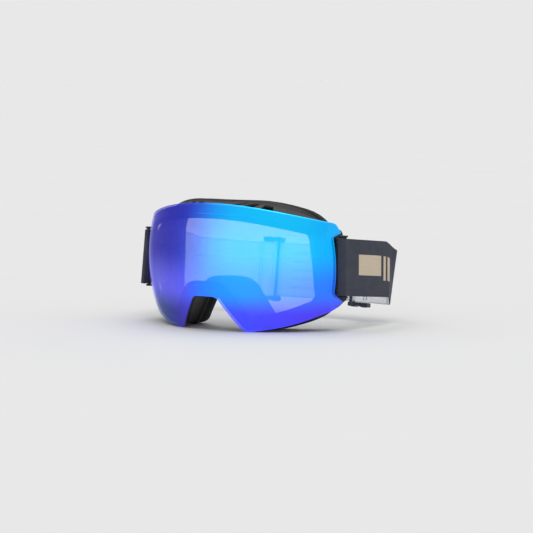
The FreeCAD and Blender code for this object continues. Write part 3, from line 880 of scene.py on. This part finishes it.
def ribbon(name, route, mirror=1, bulge=0.0, side_lean=0.0, thickness=WEB_T, width=WEB_W, offset=0.0,
           centre=0.0, zero_y=None, printed=True):
    """Webbing on edge along a plan route of (x, y, corner radius).

    Its attributes are the distance along it, back from where it first comes to zero_y, the distance across
    it, and the side, from 1 on its printed face, which is on the route's left, to -1 on its silver back. It is
    silver all round where it isn't printed, and once it has turned back at zero_y.
    """
    plan, _ = rounded(route, False, step=1.6)
    plan = [p for i, p in enumerate(plan) if i == 0 or (p - plan[i - 1]).length > 1e-4]
    rim = thickness / 2
    section = [(width / 2 - rim + rim * math.cos(t), rim * math.sin(t))
               for t in (math.radians(d) for d in (-90, -54, -18, 18, 54, 90))]
    steps = 14
    section += [((width / 2 - rim) * (1 - 2 * k / steps), rim) for k in range(1, steps)]
    section += [(-a, -b) for a, b in section]
    run = [0.0]
    for p, q in zip(plan, plan[1:]):
        run.append(run[-1] + (q - p).length)
    zero = next((r for p, r in zip(plan, run) if zero_y and p.y <= zero_y), -400.0)
    verts, faces, facts = [], [], []
    for i, p in enumerate(plan):
        tangent = (plan[min(i + 1, len(plan) - 1)] - plan[max(i - 1, 0)]).normalized()
        left = Vector((-tangent.y, tangent.x, 0))
        out = left if left.dot(Vector((p.x, p.y - 85.0, 0))) > 0 else -left
        if p.x < BACK_RUN_X:
            out = Vector((0, 1, 0))
        beside = 1.0 if p.x > 80 else 0.0
        swell = math.sin(math.pi * min(max((p.y - 60) / 62, 0), 1)) * beside
        y = p.y if p.x > BACK_RUN_X else TURN_END
        lean = LEAN * ease(y, TURN_LOW, TURN_END) + side_lean * (1 - ease(p.y, 70.0, 122.0)) * beside
        up = Vector((0, 0, math.cos(lean))) + out * math.sin(lean)
        outward = left.dot(out)
        across = left - out * outward + (out * math.cos(lean) - Vector((0, 0, math.sin(lean)))) * outward
        plain = not printed or zero - run[i] < -22.0
        for a, b in section:
            high = min(max((a + centre) / WEB_W + 0.5, 0.0), 1.0)
            middle = Vector((p.x, p.y, strap_height(mirror * p.x, y, high))) + out * (bulge * swell)
            v = middle + up * (a + centre) + across * (b + offset)
            verts.append((v.x * mirror, v.y, v.z))
            facts.append((zero - run[i], a + centre, -1.0 if plain else b / rim))
    count = len(section)
    for i in range(len(plan) - 1):
        for k in range(count):
            n = (k + 1) % count
            faces.append((i * count + k, i * count + n, (i + 1) * count + n, (i + 1) * count + k))
    faces += [tuple(range(count)), tuple(range((len(plan) - 1) * count, len(plan) * count))]
    obj = new_object(name, verts, faces)
    for index, fact in enumerate(("along", "across", "side")):
        attribute = obj.data.attributes.new(fact, "FLOAT", "POINT")
        attribute.data.foreach_set("value", [f[index] for f in facts])
    return obj


def turn(step):
    """The corner at the back, as a soft crease and a turn, for the layer that lies step inside the outer."""
    x, y, back = OUTER_X - step, CREASE_Y - step * math.tan(CREASE / 2), BACK_Y - step
    return [(x, y, CREASE_R), (x - (back - y) * math.tan(CREASE), back, TURN_R - step)]


def half_strap(side, mirror, bulge, side_lean):
    """Half of the outer layer, from the middle of the back round the outrigger's bar to the return layer."""
    inner_x, front_y = BAR_X - LOOP_R, BAR_Y - LOOP_R - LOOP_SLACK[1]
    crease, corner = turn(0.0)
    route = [
        (0.0, BACK_Y, 0), corner, crease,
        (OUTER_X, front_y, LOOP_R * 0.999), (inner_x - LOOP_SLACK[0], front_y, LOOP_R),
        (inner_x, BAR_Y + 0.5, 8.0), (inner_x, 78.0, 20.0),
        (RETURN_X, 96.0, 20.0), (RETURN_X, RETURN_JOIN_Y, 0),
    ]
    obj = ribbon("strap_" + side, route, mirror, bulge, side_lean, zero_y=BAR_Y)
    finish_piece(obj, None, WEBBING, ["strap_loop_" + side, "strap_band"], ride=False)
    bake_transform(obj)
    return obj


def strap_return(side, mirror, bulge):
    """The return layer: along the side, round the corner and about the slider's middle bar, sewn there."""
    outer_y = BACK_Y - LAYER_STEP
    inner_y = outer_y - 2 * END_R
    turn_x = SLIDER_X[side] - END_R
    route = [
        (RETURN_X, RETURN_JOIN_Y, 0), *turn(LAYER_STEP), (turn_x, outer_y, END_R * 0.999),
        (turn_x, inner_y, END_R * 0.999), (SLIDER_X[side] + 12.0, inner_y, 0),
    ]
    obj = ribbon("strap_return_webbing_" + side, route, mirror, bulge, printed=False)
    finish_piece(obj, None, WEBBING, ["strap_return_" + side, "strap_end_" + side], ride=False)
    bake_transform(obj)
    return obj


def leaned(x, dy, dz, mirror):
    """A point beside the strap's back run: dy outward and dz up, in the run's own leaning plane."""
    y = BACK_Y + dy * math.cos(LEAN) + dz * math.sin(LEAN)
    return x, y, back_height(mirror * x) + dz * math.cos(LEAN) - dy * math.sin(LEAN)


def slider(side, mirror):
    """A ladder slider: waisted rails, two bars inside the strap, two outside it and a round one between."""
    middle = SLIDER_X[side]
    inner = -(LAYER_STEP + END_R)
    outer = WEB_T / 2 + 0.25 + 0.6
    half_h = WEB_W / 2 + 0.6
    bm = bmesh.new()

    def block(x, dy, dz, wide, deep, high):
        spot = Matrix.Translation(here(leaned(x, dy, dz, mirror))) @ Matrix.Rotation(-LEAN, 4, "X")
        spot = spot @ Matrix.Diagonal((wide * MM, deep * MM, high * MM, 1))
        bmesh.ops.create_cube(bm, size=1.0, matrix=spot)

    for bar in (-1, 1):
        x = middle + bar * (SLIDER_W / 2 - 2.4)
        block(x, inner, 0, 2.2, 1.5, 2 * half_h + 2)
        block(x, outer, 0, 2.2, 1.3, 2 * half_h + 2)
    for end in (-1, 1):
        for k in range(-9, 9):
            t = (k + 0.5) / 9
            high = 3.7 - 1.1 * math.cos(math.pi * t) ** 2 + (0.5 if abs(t) > 0.75 else 0.0)
            dz = end * (half_h + high / 2)
            block(middle + t * SLIDER_W / 2, (inner + outer) / 2, dz, 1.05, outer - inner + 1.0, high)
    spot = Matrix.Translation(here(leaned(middle, inner, 0, mirror))) @ Matrix.Rotation(-LEAN, 4, "X")
    bmesh.ops.create_cone(bm, cap_ends=True, segments=24, radius1=0.95 * MM, radius2=0.95 * MM,
                          depth=(2 * half_h + 2) * MM, matrix=spot)
    obj = moulded("slider_moulding_" + side, settle(bm, "slider", mirror), 0.28, 3)
    return finish_piece(obj, "slider_" + side, SLIDER, ["strap_slider_" + side])


def stitches(side, mirror):
    """Two rows of stitching across the webbing's sewn end."""
    inner_y = -(LAYER_STEP + 2 * END_R + WEB_T / 2 + 0.08)
    bm = bmesh.new()
    for x in (SLIDER_X[side] + 6.6, SLIDER_X[side] + 9.2):
        for k in range(-10, 11):
            spot = Matrix.Translation(here(leaned(x + 0.12 * (k % 2), inner_y, k * 1.95, mirror)))
            spot = spot @ Matrix.Rotation(math.radians(8), 4, "Y")
            spot = spot @ Matrix.Diagonal((0.3 * MM, 0.22 * MM, 0.8 * MM, 1))
            bmesh.ops.create_uvsphere(bm, u_segments=10, v_segments=8, radius=1.0, matrix=spot)
    obj = settle(bm, "stitching_" + side, mirror)
    return finish_piece(obj, "slider_" + side, THREAD)


def grip():
    """Silicone ribs along the inside of the back run, between the two sliders' travels."""
    clear = SLIDER_W / 2 + SLIDER_TRAVEL + 3.0
    ends = [(clear - SLIDER_X["right"], BACK_Y, 0), (SLIDER_X["left"] - clear, BACK_Y, 0)]
    bm = bmesh.new()
    for dz in (-14, -7, 0, 7, 14):
        made = ribbon("grip", ends, thickness=0.5, width=2.4, offset=-(WEB_T / 2 + 0.2), centre=dz)
        bm.from_mesh(made.data)
        bpy.data.objects.remove(made)
    return finish_piece(settle(bm, "silicone_grip", 1), "goggles", SILICONE, ["grip_strips"])


def strap():
    for side, mirror, bulge, side_lean in (("left", 1, 0.8, 0.0), ("right", -1, 2.4, -0.085)):
        half_strap(side, mirror, bulge, side_lean)
        strap_return(side, mirror, bulge)
        slider(side, mirror)
        stitches(side, mirror)
    grip()


# ---------------------------------------------------------------- studio
BACKDROP = 0.807  # linear brightness of the floor and of the sky near the horizon
SKY_TOP = 1.7  # and of the sky overhead
SUN = 0.42
FLOOR_R = 60.0


def studio():
    """A wide pale floor under a soft sky, as bright as the floor at the horizon and brighter overhead."""
    count = 96
    turns = [2 * math.pi * k / count for k in range(count)]
    verts = [(0, 0, 0)] + [(FLOOR_R * math.cos(t), FLOOR_R * math.sin(t), 0) for t in turns]
    faces = [(0, 1 + k, 1 + (k + 1) % count) for k in range(count)]
    floor = new_object("studio_floor", verts, faces, in_place=True)
    shade = Shade("studio_floor")
    tone = shade.mix(shade.noise(6, 3.0), rgba((0.705, 0.705, 0.705)), rgba((0.73, 0.73, 0.73)))
    shade.set(Base_Color=tone, Roughness=0.95, Specular_IOR_Level=0.0)
    floor.data.materials.append(shade.material)
    world = bpy.data.worlds.new("studio")
    world.use_nodes = True
    tree = world.node_tree
    where = tree.nodes.new("ShaderNodeTexCoord")
    height = tree.nodes.new("ShaderNodeSeparateXYZ")
    tree.links.new(where.outputs["Generated"], height.inputs[0])
    ramp = tree.nodes.new("ShaderNodeValToRGB")
    tree.links.new(height.outputs["Z"], ramp.inputs[0])
    ramp.color_ramp.interpolation = "EASE"
    stops = [(0.14, BACKDROP), (0.3, 0.62), (0.75, 0.62), (0.9, SKY_TOP)]
    elements = ramp.color_ramp.elements
    while len(elements) < len(stops):
        elements.new(0.5)
    for element, (position, level) in zip(elements, stops):
        element.position = position
        element.color = (level, level, level, 1.0)
    tree.links.new(ramp.outputs[0], tree.nodes["Background"].inputs[0])
    bpy.context.scene.world = world


def lights():
    """One broad soft sun from high in front on the wearer's left, and a weaker one from behind."""
    for name, towards, power in (("key", (0.55, -0.75, 1.6), SUN), ("back", (-0.7, 1.1, 1.5), SUN * 0.35)):
        data = bpy.data.lights.new(name, "SUN")
        data.energy, data.angle = power, math.radians(28)
        obj = bpy.data.objects.new(name, data)
        obj.rotation_euler = Vector(towards).to_track_quat("Z", "Y").to_euler()
        bpy.context.scene.collection.objects.link(obj)


VIEW_AZIMUTH, VIEW_ELEVATION, VIEW_DISTANCE = math.radians(34.0), math.radians(4.8), 1.8
VIEW_SCALE = 1275.0  # pixels per metre at the pivot
PICTURE = 533


def camera():
    """Looks along the viewing direction at a pivot behind the lens, moved so that the object sits left."""
    a, e = VIEW_AZIMUTH, VIEW_ELEVATION
    back = Vector((math.sin(a) * math.cos(e), -math.cos(a) * math.cos(e), math.sin(e)))
    right = Vector((math.cos(a), math.sin(a), 0))
    up = back.cross(right)
    pivot = here((0, 50.0, 0))
    data = bpy.data.cameras.new("camera")
    data.sensor_width = 36.0
    data.lens = VIEW_SCALE * VIEW_DISTANCE * data.sensor_width / PICTURE
    obj = bpy.data.objects.new("camera", data)
    obj.location = pivot + back * VIEW_DISTANCE + right * 0.0219 - up * 0.0065
    obj.rotation_euler = back.to_track_quat("Z", "Y").to_euler()
    bpy.context.scene.collection.objects.link(obj)
    bpy.context.scene.camera = obj


lens_assembly()
moulded_frame()
face_padding()
vent_padding()
outriggers()
strap()
studio()
lights()
camera()
bpy.context.scene.view_settings.view_transform = "Standard"
